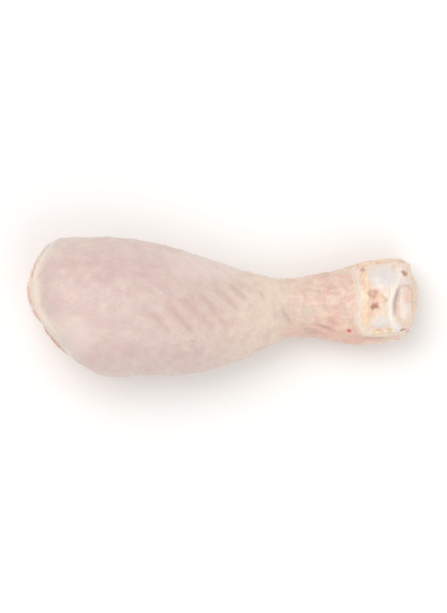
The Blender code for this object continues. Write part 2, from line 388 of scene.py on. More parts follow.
def on_leg(along, degrees, depth):
    """(point, facing) on the leg's form at one place, this many millimetres beneath the skin's face."""
    share = np.array([LEG.share_at(along * MM)])
    angle = np.array([math.radians(degrees)])
    facing = outward(leg_surface, share, angle)[0]
    point = leg_surface(share, angle)[0] - facing * depth * MM
    return Vector(point), Vector(facing)


# ---- Finishes ----


def shade(red, green, blue):
    """A colour given as a screen shows it, 0 to 255, as the linear value that a shader takes."""
    channels = [c / 255 for c in (red, green, blue)]
    return (*[c / 12.92 if c <= 0.04045 else ((c + 0.055) / 1.055) ** 2.4 for c in channels], 1.0)


COAT_ROUGHNESS = 0.18
UNDER_SKIN_GLOW = 0.22
UNDER_SKIN_REACH = (1.0, 0.42, 0.28)
NOISE_ROUGHNESS = 0.55


class Finish:
    """A material built up in layers over the piece's own coordinates. Its sizes are in millimetres."""

    def __init__(self, name, roughness, wetness, flesh_depth):
        self.material = bpy.data.materials.new(name)
        self.material.use_nodes = True
        self.nodes = self.material.node_tree.nodes
        self.shader = self.nodes["Principled BSDF"]
        self.shader.inputs["Roughness"].default_value = roughness
        self.shader.inputs["Coat Weight"].default_value = wetness
        self.shader.inputs["Coat Roughness"].default_value = COAT_ROUGHNESS
        self.shader.inputs["Subsurface Weight"].default_value = UNDER_SKIN_GLOW
        self.shader.inputs["Subsurface Radius"].default_value = UNDER_SKIN_REACH
        self.shader.inputs["Subsurface Scale"].default_value = flesh_depth * MM
        self.coordinates = self.nodes.new("ShaderNodeTexCoord").outputs["Object"]

    def join(self, source, target):
        self.material.node_tree.links.new(source, target)

    def feed(self, value, target):
        """Sets a socket to a colour or a value, or joins it to another one."""
        if isinstance(value, bpy.types.NodeSocket):
            self.join(value, target)
        elif isinstance(value, tuple):
            target.default_value = shade(*value)
        else:
            target.default_value = value

    def texture(self, kind, size, stretch):
        """A texture of this size in millimetres, stretched by direction."""
        mapping = self.nodes.new("ShaderNodeMapping")
        mapping.inputs["Scale"].default_value = stretch
        self.join(self.coordinates, mapping.inputs["Vector"])
        texture = self.nodes.new(kind)
        texture.inputs["Scale"].default_value = 1 / (size * MM)
        self.join(mapping.outputs["Vector"], texture.inputs["Vector"])
        return texture

    def noise(self, size, detail=3.0, stretch=(1, 1, 1), distortion=0.0):
        """An uneven value from 0 to 1, with lumps of this size."""
        texture = self.texture("ShaderNodeTexNoise", size, stretch)
        texture.inputs["Detail"].default_value = detail
        texture.inputs["Roughness"].default_value = NOISE_ROUGHNESS
        texture.inputs["Distortion"].default_value = distortion
        return texture.outputs["Fac"]

    def cells(self, size, stretch=(1, 1, 1)):
        """The distance from the middle of the nearest of many cells of this size."""
        return self.texture("ShaderNodeTexVoronoi", size, stretch).outputs["Distance"]

    def painted(self, mark):
        reader = self.nodes.new("ShaderNodeAttribute")
        reader.attribute_name = mark
        return reader.outputs["Fac"]

    def axis(self, letter):
        parts = self.nodes.new("ShaderNodeSeparateXYZ")
        self.join(self.coordinates, parts.inputs["Vector"])
        return parts.outputs[letter]

    def rise(self, value, low, high, to_low=0.0, to_high=1.0):
        """Maps a value from one range to another, held at both ends."""
        node = self.nodes.new("ShaderNodeMapRange")
        node.interpolation_type = "SMOOTHSTEP"
        self.join(value, node.inputs["Value"])
        limits = {"From Min": low, "From Max": high, "To Min": to_low, "To Max": to_high}
        for name, limit in limits.items():
            node.inputs[name].default_value = limit
        return node.outputs["Result"]

    def sums(self, operation, first, second):
        node = self.nodes.new("ShaderNodeMath")
        node.operation = operation
        self.feed(first, node.inputs[0])
        self.feed(second, node.inputs[1])
        return node.outputs["Value"]

    def blend(self, first, second, share):
        """Blends two colours by a share of the second."""
        node = self.nodes.new("ShaderNodeMix")
        node.data_type = "RGBA"
        self.feed(share, node.inputs["Factor"])
        self.feed(first, node.inputs["A"])
        self.feed(second, node.inputs["B"])
        return node.outputs["Result"]

    def tint(self, base, *tints):
        """Blends a colour in wherever its mark is painted, one mark after another."""
        for mark, colour in tints:
            base = self.blend(base, colour, self.painted(mark))
        return base

    def dapple(self, base, colour, size, detail, low, high, amount):
        """Blends soft patches of a colour in, up to this share of it."""
        patches = self.rise(self.noise(size, detail), low, high, 0.0, amount)
        return self.blend(base, colour, patches)

    def colour(self, value):
        self.feed(value, self.shader.inputs["Base Color"])

    def uneven_gloss(self, size, low, high):
        """Varies the roughness between two values, in patches of this size."""
        patches = self.rise(self.noise(size, 2), 0.3, 0.7, low, high)
        self.join(patches, self.shader.inputs["Roughness"])

    def relief(self, height, depth):
        """Fine relief, this many millimetres deep, too small to model."""
        bump = self.nodes.new("ShaderNodeBump")
        bump.inputs["Strength"].default_value = 1.0
        bump.inputs["Distance"].default_value = depth * MM
        self.join(height, bump.inputs["Height"])
        self.join(bump.outputs["Normal"], self.shader.inputs["Normal"])
        self.join(bump.outputs["Normal"], self.shader.inputs["Coat Normal"])

    def on(self, piece):
        piece.data.materials.clear()
        piece.data.materials.append(self.material)


def skin_finish():
    look = Finish("raw skin", roughness=0.42, wetness=0.20, flesh_depth=2.2)
    along = look.axis("X")
    calf = look.blend((216, 194, 186), (209, 184, 177), look.noise(9, 4))
    base = look.blend(calf, (229, 207, 190), look.rise(along, KNEE_TIP + 0.054, KNEE_TIP + 0.086))
    pimples = look.rise(look.noise(3.0), 0.40, 0.60)
    shank = look.blend((226, 184, 169), (233, 203, 183), pimples)
    base = look.blend(base, shank, look.rise(along, KNEE_TIP + 0.084, KNEE_TIP + 0.104))
    # The mauve mark is the skin's own tint, except one weak patch of painted shade over the calf's middle.
    mauve = look.rise(look.noise(7), 0.35, 0.60)
    mauve = look.sums("MULTIPLY", look.painted("mauve"), mauve)
    base = look.blend(base, (203, 173, 170), mauve)
    base = look.dapple(base, (200, 173, 166), 4.2, 4, 0.42, 0.70, 0.36)
    base = look.dapple(base, (232, 215, 192), 5, 4, 0.44, 0.72, 0.30)
    base = look.dapple(base, (226, 206, 194), 1.3, 3, 0.52, 0.74, 0.22)
    flush = look.rise(look.noise(1.8, distortion=0.6), 0.60, 0.74, 0.0, 0.28)
    base = look.blend(base, (218, 174, 160), flush)
    # The crease mark is painted shade in the creases, furrows and folds, and the pale mark is painted light
    # near the edges; the other marks are the skin's own colours.
    base = look.tint(
        base,
        ("crease_shade", (190, 146, 130)), ("pore", (190, 160, 158)), ("pale", (234, 213, 205)),
        ("rim", (238, 219, 202)), ("blush", (222, 168, 150)), ("blood", (196, 60, 48)),
    )
    look.colour(base)
    goosebumps = look.sums("MULTIPLY", look.cells(1.1), 0.6)
    grain = look.sums("ADD", look.noise(0.7), goosebumps)
    grain = look.sums("ADD", grain, look.sums("MULTIPLY", look.noise(2.4), 1.6))
    look.relief(grain, 0.16)
    look.uneven_gloss(4, 0.32, 0.50)
    return look


def meat_finish():
    look = Finish("raw meat", roughness=0.34, wetness=0.34, flesh_depth=2.6)
    fibre = look.noise(0.55, 4, stretch=(0.12, 1, 1))
    base = look.blend((221, 166, 140), (206, 146, 124), look.noise(6))
    base = look.blend(base, (236, 196, 172), look.rise(fibre, 0.44, 0.78, 0.0, 0.5))
    base = look.dapple(base, (198, 130, 120), 11, 2, 0.48, 0.75, 0.6)
    # The crease mark is painted shade, darker in the partings between the muscles.
    base = look.tint(
        base, ("membrane", (236, 214, 202)), ("fat", (238, 212, 172)), ("crease_shade", (168, 92, 82))
    )
    vessels = look.rise(look.cells(5, stretch=(0.5, 1, 1)), 0.70, 0.80, 0.0, 0.30)
    base = look.blend(base, (160, 78, 74), vessels)
    look.colour(base)
    look.relief(look.sums("ADD", fibre, look.noise(0.5, 2)), 0.18)
    look.uneven_gloss(3, 0.24, 0.42)
    return look


def bone_finish():
    look = Finish("joint cartilage", roughness=0.24, wetness=0.45, flesh_depth=1.8)
    base = look.blend((232, 222, 217), (216, 208, 209), look.noise(3))
    base = look.tint(base, ("blush", (224, 170, 152)), ("fat", (236, 214, 178)))
    look.colour(base)
    look.relief(look.noise(0.8), 0.06)
    return look


def gristle_finish():
    look = Finish("hock gristle", roughness=0.30, wetness=0.35, flesh_depth=1.8)
    base = look.blend((238, 219, 204), (230, 203, 183), look.noise(2.2, 4))
    # The hollow mark is painted shade in the groove, under the white arc and between the knuckles; the pit
    # mark holds the real pits and vein marks, and painted shade in the dark gaps.
    base = look.tint(
        base,
        ("yellow", (226, 198, 146)), ("fat", (237, 211, 176)), ("pearl", (238, 228, 219)),
        ("cool", (222, 216, 214)), ("blush", (228, 180, 160)), ("hollow_shade", (186, 160, 158)),
        ("pit_and_gap_shade", (172, 116, 94)),
    )
    base = look.dapple(base, (222, 184, 160), 0.9, 3, 0.52, 0.72, 0.30)
    look.colour(base)
    look.relief(look.noise(0.7, 4), 0.14)
    look.uneven_gloss(2, 0.22, 0.40)
    return look


def fat_finish():
    look = Finish("soft fat", roughness=0.32, wetness=0.30, flesh_depth=2.0)
    base = look.blend((240, 218, 190), (234, 200, 168), look.noise(1.6, 4))
    base = look.dapple(base, (226, 174, 152), 2.2, 3, 0.46, 0.70, 0.7)
    look.colour(base)
    look.relief(look.noise(0.6, 4), 0.14)
    return look


def sinew_finish():
    look = Finish("cut sinew", roughness=0.26, wetness=0.42, flesh_depth=1.4)
    fibre = look.noise(0.5, 4, stretch=(0.2, 1, 1))
    base = look.blend((238, 226, 210), (222, 200, 182), look.rise(fibre, 0.35, 0.65))
    base = look.dapple(base, (226, 172, 156), 2.2, 3, 0.52, 0.74, 0.55)
    look.colour(base)
    look.relief(fibre, 0.10)
    return look


def capsule_finish():
    look = Finish("joint capsule", roughness=0.28, wetness=0.40, flesh_depth=1.6)
    fibre = look.noise(0.6, 4, stretch=(0.25, 1, 1))
    flushed = look.rise(look.noise(2.4, 4), 0.38, 0.64)
    base = look.blend((234, 208, 194), (224, 172, 154), flushed)
    base = look.blend(base, (240, 226, 210), look.rise(fibre, 0.48, 0.70, 0.0, 0.7))
    look.colour(base)
    look.relief(fibre, 0.10)
    return look


def flesh_finish():
    look = Finish("torn flesh", roughness=0.28, wetness=0.40, flesh_depth=2.2)
    base = look.blend((240, 211, 197), (231, 188, 170), look.noise(1.5, 4))
    base = look.dapple(base, (242, 220, 200), 1.1, 3, 0.50, 0.72, 0.7)
    look.colour(base)
    look.relief(look.noise(0.5, 4), 0.12)
    return look


# ---- The skin ----

SKIN_ROUND = 252
SKIN_OUTER_RINGS = 300
# The rings stay level this far along the leg, and from there on they stretch to the edge round the window.
LEVEL_RINGS_END = 108 * MM
LEVEL_RINGS_SHARE = 0.76
SKIN_RIM_RINGS = 6
SKIN_INNER_RINGS = 24

# The rows of follicles run aslant: a step across them is this much along the leg and this much round it.
ROW_STEP_ALONG, ROW_STEP_ROUND = 0.73, 0.68
FOLLICLE_ROWS = 20
FOLLICLES_IN_A_ROW = 23
# The skin's rim bulges by this share of its thickness, and the skin stays this far off the table.
RIM_BULGE = 0.3
OFF_TABLE = 0.02 * MM

# Patches of colour on the skin: middle and radii, and for the mauve ones their strength. The pale patches
# are painted light, brightening the calf's lower-left and upper edges where the lamps leave them darker;
# the weak last mauve patch is painted shade over the calf's middle, where the key light's sheen falls.
MAUVE_PATCHES = (
    ((20, 12), (15, 9), 1.0),
    ((37, 11), (10, 6.5), 1.0),
    ((42.3, 12.2), (1.8, 1.6), 1.2),
    ((18, 3), (10, 7), 0.35),
)
PAINTED_EDGE_LIGHT = (((13, -11), (13, 9)), ((62, 15), (16, 7)))
FLUSHED_PATCH = ((116.0, 13.6), (3.6, 2.4))
BLOOD_SPECK = ((111.4, -8.6), (111.9, -8.8))

CALF_CREASE_WIDTH, SHANK_CREASE_WIDTH = 1.25, 0.80
CALF_CREASES = (
    ((47.5, 2.6), (51.5, -1.7), (55.2, -5.9), (59.0, -10.0)),
    ((52.0, 5.0), (56.8, 0.2), (61.3, -4.3), (66.0, -9.0)),
    ((58.5, 6.0), (62.5, 2.0), (66.0, -2.5), (70.5, -7.5)),
    ((64.0, 7.6), (67.5, 4.6), (71.0, 1.4), (74.0, -2.6)),
    ((43.0, -1.6), (46.6, -5.6), (50.0, -9.6)),
    ((70.0, 8.2), (73.0, 5.6), (76.4, 2.0)),
)
# Each with its strength.
SHANK_CREASES = (
    (((88.6, 1.6), (89.3, -1.6), (90.4, -4.4), (91.8, -6.2), (94.2, -7.4)), 0.75),
    (((99.2, -5.8), (102.2, -7.5), (105.2, -8.8), (109.0, -10.2)), 1.3),
    (((103.2, -4.2), (105.8, -5.6), (108.6, -7.4)), 0.9),
    (((95.0, -8.2), (99.6, -9.6), (104.0, -10.4)), 0.9),
    (((96.4, 2.2), (96.6, 0.0), (96.7, -1.8)), 0.6),
    (((93.6, 7.4), (95.8, 4.8), (97.2, 2.4)), 0.5),
    (((99.8, 7.6), (101.8, 4.6), (103.4, 2.2)), 0.6),
    (((105.6, 8.6), (107.8, 6.0), (108.8, 3.2)), 0.5),
    (((81.0, 5.8), (81.8, 3.6), (82.3, 1.4)), 0.6),
    (((112.6, -10.8), (117.0, -11.6), (122.0, -11.8), (127.0, -11.3)), 0.8),
)


def follicles(along, angle, points):
    """The rows in which the feathers stood: (how deep in the furrow between rows, how near a follicle)."""
    turned = (angle - math.pi / 2) / math.tau
    wander = cloud(points, 9, layer=3) * 0.16
    row_length = FOLLICLE_ROWS / (ROW_STEP_ROUND * math.tau)
    across_rows = ROW_STEP_ALONG * along / CALF_WIDTH * 2 * row_length
    across_rows = across_rows - turned * FOLLICLE_ROWS + wander
    spot_length = FOLLICLES_IN_A_ROW / (ROW_STEP_ALONG * math.tau)
    down_rows = ROW_STEP_ROUND * along / CALF_WIDTH * 2 * spot_length
    down_rows = down_rows + turned * FOLLICLES_IN_A_ROW + wander
    furrow = np.exp(5 * (np.cos(math.tau * across_rows) - 1))
    row = np.floor(across_rows)
    u = across_rows - row - 0.5
    v = down_rows + 0.5 * np.mod(row, 2)
    v = v - np.floor(v) - 0.5
    near = np.exp(-((u / 0.24) ** 2) - (v / 0.26) ** 2)
    return furrow, near


def sleeve_steps(step, turns):
    """(reach along the skin, depth in it, how far past its edges) for each step round the section."""
    reach = np.zeros(turns)
    depth = np.zeros(turns)
    past = np.zeros(turns)
    outer_end = SKIN_OUTER_RINGS
    hock_end = outer_end + SKIN_RIM_RINGS
    inner_end = hock_end + SKIN_INNER_RINGS
    bend = (np.arange(SKIN_RIM_RINGS) + 1) / (SKIN_RIM_RINGS + 1) * math.pi
    reach[:outer_end] = np.linspace(0, 1, SKIN_OUTER_RINGS)
    reach[outer_end:hock_end] = 1
    reach[hock_end:inner_end] = np.linspace(1, 0, SKIN_INNER_RINGS)
    past[outer_end:hock_end] = np.sin(bend)
    past[inner_end:] = -np.sin(bend)
    depth[outer_end:hock_end] = (1 - np.cos(bend)) / 2
    depth[hock_end:inner_end] = 1
    depth[inner_end:] = (1 + np.cos(bend)) / 2
    return reach[step], depth[step], past[step]


def make_skin():
    """The skin is a ring drawn out along the leg.

    Round its section come the outside, the rim at the hock, the inside and the rim at the knee.
    """
    turns = SKIN_OUTER_RINGS + SKIN_INNER_RINGS + 2 * SKIN_RIM_RINGS
    put_down()
    bpy.ops.mesh.primitive_torus_add(
        major_segments=SKIN_ROUND, minor_segments=turns, major_radius=1.0, minor_radius=0.5
    )
    skin = named("drumstick_skin")
    ring = points_of(skin)
    angle = np.mod(np.arctan2(ring[:, 1], ring[:, 0]) - math.pi / 2, math.tau)
    lift = np.arctan2(ring[:, 2], np.hypot(ring[:, 0], ring[:, 1]) - 1.0)
    step = np.rint(np.mod(lift, math.tau) / math.tau * turns).astype(int) % turns
    reach, depth, past = sleeve_steps(step, turns)

    start = LEG.share_at(KNEE_EDGE.at(angle))
    end = LEG.share_at(HOCK_EDGE.at(angle))
    level = LEG.share_at(LEVEL_RINGS_END)
    before = start + (level - start) * reach / LEVEL_RINGS_SHARE
    beyond = level + (end - level) * (reach - LEVEL_RINGS_SHARE) / (1 - LEVEL_RINGS_SHARE)
    share = np.where(reach < LEVEL_RINGS_SHARE, before, beyond)
    share = share + past * RIM_BULGE * SKIN_THICKNESS / LEG_REACH
    along = LEG.at(share)[0]
    swayed = angle + sway(along, angle)
    facing = outward(leg_surface, share, swayed)
    form = leg_surface(share, swayed)
    upper = ease(facing[:, 2], 0.05, 0.45)
    from_knee = KNEE_EDGE.past(along, angle)
    from_hock = -HOCK_EDGE.past(along, angle)

    on_calf = ease(along, 0.016, 0.036) * (1 - ease(along, 0.078, 0.094))
    on_shank = ease(along, 0.084, 0.094) * (1 - ease(along, 0.113, 0.120))
    furrow, follicle = follicles(along, angle, form)
    furrow *= 0.7 * ease(along, 0.030, 0.054) * on_calf * (0.5 + 0.5 * cloud(form, 14, 5))
    follicle *= on_calf * (0.65 + 0.6 * cloud(form, 12, 6))
    creases = most(0.70 * stroke(form, path, CALF_CREASE_WIDTH, tips=0.2) for path in CALF_CREASES)
    folds = most(
        strength * stroke(form, path, SHANK_CREASE_WIDTH, tips=0.35) for path, strength in SHANK_CREASES
    )
    creases *= upper * (0.9 + 0.3 * cloud(form, 6, 24))
    folds *= upper * (0.85 + 0.5 * cloud(form, 3, 25))
    strands = 1 - np.abs(cloud(form, (9, 1.7, 1.7), 8))
    strands = np.clip(strands - 0.74, 0, 1) / 0.26 * on_shank
    rings = 1 - np.abs(cloud(form, (2.2, 9, 9), 9))
    rings = np.clip(rings - 0.80, 0, 1) / 0.20 * hump(along, 0.092, 0.009)
    draped = crease_depths(angle, along) * (1 - ease(from_knee, 1.0, 11.0))

    relief = 0.34 * cloud(form, 15, 1) + 0.13 * cloud(form, 5, 2) + 0.05 * cloud(form, 1.9, 3)
    relief = relief - 0.22 * furrow + 0.40 * follicle + 0.20 * cloud(form, 2.3, 4) * on_shank
    relief = relief - 0.50 * creases - 0.50 * folds - 0.12 * strands - 0.16 * rings
    relief = relief - 0.40 + 0.22 * hump(from_knee, 2.0, 1.4) - 0.9 * draped
    relief = relief + 0.28 * hump(from_hock, 1.5, 1.0) - 0.25 * (1 - ease(from_hock, -0.2, 0.9))
    relief = np.minimum(relief, 0.30)
    thinned = np.minimum(0.42 + 0.58 * ease(from_hock, 0, 4), 0.50 + 0.50 * ease(from_knee, 0, 5))
    thickness = SKIN_THICKNESS * thinned
    inside = (1 - depth) * relief * MM - depth * thickness
    points = form + facing * inside[:, None]
    points[:, 2] = np.maximum(points[:, 2], depth * thickness + OFF_TABLE)
    set_points(skin, points)

    outside = 1 - depth
    # Painted shade: the skin darkens in its creases, furrows, folds and wrinkles, where shade falls.
    marks = 0.42 * creases + 0.45 * folds + 0.20 * furrow + 0.10 * strands + 0.12 * rings
    paint(skin, "crease_shade", np.clip(marks, 0, 0.8) * outside)
    paint(skin, "pore", np.clip(follicle**3, 0, 1) * 0.42 * outside)
    wander = cloud(form, 4, 26, 2)
    rim_width = 1.1 + 2.7 * ease(np.sin(angle), -0.2, 0.5) * (1 - 0.7 * ease(-np.cos(angle), 0.35, 0.85))
    knee_rim = 0.85 * (1 - ease(from_knee + 1.3 * wander, 0.6 * rim_width, 1.5 * rim_width))
    hock_rim = 0.8 * (1 - ease(from_hock + 0.5 * wander, 0.5, 1.8))
    paint(skin, "rim", np.maximum(knee_rim, hock_rim))
    # Mostly the skin's own mauve; the weak patch over the calf's middle is painted shade.
    mauve = most(strength * spot(form, middle, radii) for middle, radii, strength in MAUVE_PATCHES)
    # Painted light: pale patches that brighten edges which the lamps leave darker.
    pale = most(spot(form, *patch) for patch in PAINTED_EDGE_LIGHT)
    paint(skin, "pale", np.clip(1.4 * pale, 0, 1) * 0.50)
    paint(skin, "mauve", np.clip(mauve * 1.5, 0, 1) * upper * 0.55)
    flushed = on_shank * ease(-facing[:, 1], 0.1, 0.8) * 0.34
    flushed = np.maximum(flushed, 0.5 * spot(form, *FLUSHED_PATCH))
    paint(skin, "blush", np.clip(flushed, 0, 1))
    paint(skin, "blood", stroke(form, BLOOD_SPECK, 0.5, tips=0) * upper)
    smooth(skin)
    skin_finish().on(skin)
    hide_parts("skin")
    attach(skin, "root")


# ---- The meat at the bare knee end ----

# The partings between the calf's muscles, in degrees round the leg.
MUSCLE_CREASES = (20, 128, 205, 292)
CREASE_HALF_WIDTH = math.radians(15)
CREASE_FADE = (0.012, 0.040)
MEAT_ROUND = 200
MEAT_RINGS = 170
# The rings crowd together at the knee, and from this share of the way on they close the meat's far end.
MEAT_CROWDING = 1.7
MEAT_CLOSING = 0.985


def closed_form(name, around, rings):
    """A sphere to be drawn out between the two ends of a form: (piece, share of the way, angle)."""
    put_down()
    bpy.ops.mesh.primitive_uv_sphere_add(segments=around, ring_count=rings, radius=1.0)
    piece = named(name)
    ball = points_of(piece)
    share = np.arccos(np.clip(ball[:, 2], -1, 1)) / math.pi
    return piece, share, np.arctan2(ball[:, 1], ball[:, 0])


def crease_depths(angle, along):
    """How deep a point of the calf lies in one of the partings between its muscles, from 0 to 1."""
    depth = np.zeros(len(angle))
    for crease_shade in MUSCLE_CREASES:
        turned = np.angle(np.exp(1j * (angle - math.radians(crease_shade)))) / CREASE_HALF_WIDTH
        depth += np.exp(-(turned**2))
    return depth * (1 - ease(along, *CREASE_FADE))


def close_end(points, along, share):
    """Draws an open end in to the centre line by this share, and keeps the piece above the skin beneath."""
    side, height = centre_line(along)
    points[:, 1] += (side - points[:, 1]) * share
    points[:, 2] += (height - points[:, 2]) * share
    points[:, 2] = np.maximum(points[:, 2], BENEATH_SKIN)


def make_meat():
    meat, way, angle = closed_form("drumstick_meat", MEAT_ROUND, MEAT_RINGS)
    last = float(LEG.share_at(JOINT_START - 0.3 * MM))
    share = last * np.minimum(1, way / MEAT_CLOSING) ** MEAT_CROWDING
    form = leg_surface(share, angle)
    facing = outward(leg_surface, share, angle)
    along = LEG.at(share)[0]
    from_edge = KNEE_EDGE.past(along, angle)
    bare = 1 - ease(from_edge, -1.0, 4.0)
    parting = crease_depths(angle, along)
    relief = -BENEATH_SKIN / MM + 0.7 * bare - 1.8 * parting * (1 - 0.5 * ease(from_edge, -5.0, 0.5))
    bulges = 0.40 * cloud(form, 7, 11) + 0.14 * cloud(form, 2.4, 15)
    fibres = 0.20 * cloud(form, (6, 1.1, 1.1), 12, 2)
    relief = relief + bare * (bulges + fibres)
    points = form + facing * (relief * MM)[:, None]
    close_end(points, along, np.clip((way - MEAT_CLOSING) / 0.015, 0, 1))
    set_points(meat, points)
    # Painted shade: darker in the partings between the muscles.
    paint(meat, "crease_shade", np.clip(parting**2, 0, 1) * 0.55)
    membrane = ease(cloud(form, (9, 5, 5), 13, 2), 0.10, 0.50)
    paint(meat, "membrane", membrane * 0.5)
    fatty = np.maximum(ease(parting, 0.15, 0.6), 0.7 * ease(from_edge, -3, -0.5))
    fat = ease(cloud(form, 3.0, 14, 2), 0.24, 0.46) * fatty
    paint(meat, "fat", fat * 0.9)
    smooth(meat)
    meat_finish().on(meat)
    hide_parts("meat")
    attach(meat, "root")


# ---- The bone ----


BONE_ROUND = 120
BONE_RINGS = 260
HEAD_END = (0.004, 0.012)
HEAD_SLANT = 2.0 * MM


def head_slant(across):
    """How much farther along the leg the bone's head lies on its -Y side, by millimetres across."""
    return HEAD_SLANT * ease(-across, 0.5, 8.0)


def make_bone():
    """The shin bone. Its head has two shallow cups, and a rise between them that is notched at its ends."""
    bone, share, angle = closed_form("leg_bone", BONE_ROUND, BONE_RINGS)
    form = bone_surface(share, angle)
    facing = outward(bone_surface, share, angle)
    along, half_width, half_height = BONE.at(share)
    head = 1 - ease(along, *HEAD_END)
    across = np.cos(angle) * half_width / MM
    up = np.sin(angle) * half_height / MM
    relief = 0.22 * cloud(form, 4, 21) * (1 - ease(along, 0.030, 0.045))
    cups = [np.exp(-(((across - middle) / 2.7) ** 2) - ((up + 0.4) / 3.8) ** 2) for middle in (4, -4)]
    notch = np.exp(-((across / 1.5) ** 2)) * (ease(-up, 3.0, 6.5) + 0.6 * ease(up, 4.0, 7.0))
    relief -= (1.3 * sum(cups) + 1.5 * notch) * head
    points = form + facing * (relief * MM)[:, None]
    points[:, 0] += head_slant(across) * head
    set_points(bone, points)
    brim = ease(np.hypot(across / 8.6, up / 7.4), 0.80, 0.97)
    stain = ease(cloud(form, 2.6, 22, 2), 0.05, 0.50)
    paint(bone, "blush", np.clip(head * (0.65 * brim + 0.5 * stain), 0, 0.85))
    paint(bone, "fat", ease(along, 0.006, 0.010) * 0.8)
    smooth(bone)
    bone_finish().on(bone)
    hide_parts("bone")
    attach(bone, "root")


# ---- The hock ----

HOCK_ROUND = 240
HOCK_RINGS = 270
# The last share of the way, over which the hock's far end closes.
HOCK_CLOSING = 0.03
# How far the far end is drawn back, in millimetres, so that its pads stay within the part.
END_DRAWN_BACK = 1.48

RIDGE = (
    (130.4, 14.6), (129.0, 10.6), (127.0, 5.4), (125.9, 0.8), (125.8, -3.2), (127.2, -6.4), (130.2, -9.0),
)
GROOVE = ((130.0, 8.6), (128.7, 4.6), (127.7, 0.8), (127.8, -2.2), (129.0, -4.6))
OUTER_LIP = ((133.2, 11.0), (135.4, 8.0), (136.2, 4.2), (135.7, -0.2), (134.3, -4.8), (132.6, -7.6))
FAT_BAND = ((117.0, 13.6), (117.6, 9.0), (118.0, 4.0), (117.6, 0.0), (117.2, -4.0), (117.8, -7.6))
FLUSHED_BAND = ((115.6, 13.2), (116.0, 9.4), (116.8, 5.2))
WHITE_ARC = ((129.8, 9.0), (132.4, 8.8), (135.2, 6.6))
ARC_SHADE = ((129.6, 7.2), (132.2, 7.2), (134.6, 5.0))
# Patches: middle and radii, and for an oval one its turn.
LOBE = ((131.6, 0.9), (2.7, 7.4), 0.06)
HIGH_PAD = ((123.2, 10.4), (5.6, 5.2))
LOW_PAD = ((122.6, -6.0), (3.8, 2.4))
RED_SPOT = ((116.5, 13.0), (1.3, 1.2))
BLOTCH = ((120.0, 4.5), (2.4, 1.8), 0.3)
VEIN_HOLE = ((120.4, -0.1), (1.6, 1.5), 0.0)
# The dark gaps between the skin and the joint, as middle and radius: painted shade, with a shallow dip as
# well.
GAP_SHADE_SPOTS = (((130.8, 11.8), 1.1), ((131.0, -9.6), 1.8))
YELLOW_SPOTS = (((122.0, -9.1), (1.6, 1.1)), ((124.2, -2.7), (0.9, 1.7)), ((125.8, -8.8), (1.1, 1.0)))
# Across, up and radius, in millimetres, on the end face.
CUT_TENDONS = ((-9.0, -3.0, 1.1), (-5.4, -7.4, 1.7), (1.8, -8.6, 1.2), (8.4, -5.2, 1.5))
# Across, up, half width and half height, in millimetres, of the two knuckles.
KNUCKLES = ((4.2, 0.6, 5.2, 6.0), (-5.4, -0.2, 3.7, 5.0))
ORANGE_VEIN = ((122.4, 4.4), (123.5, 3.2), (124.2, 1.8), (123.4, 0.6))


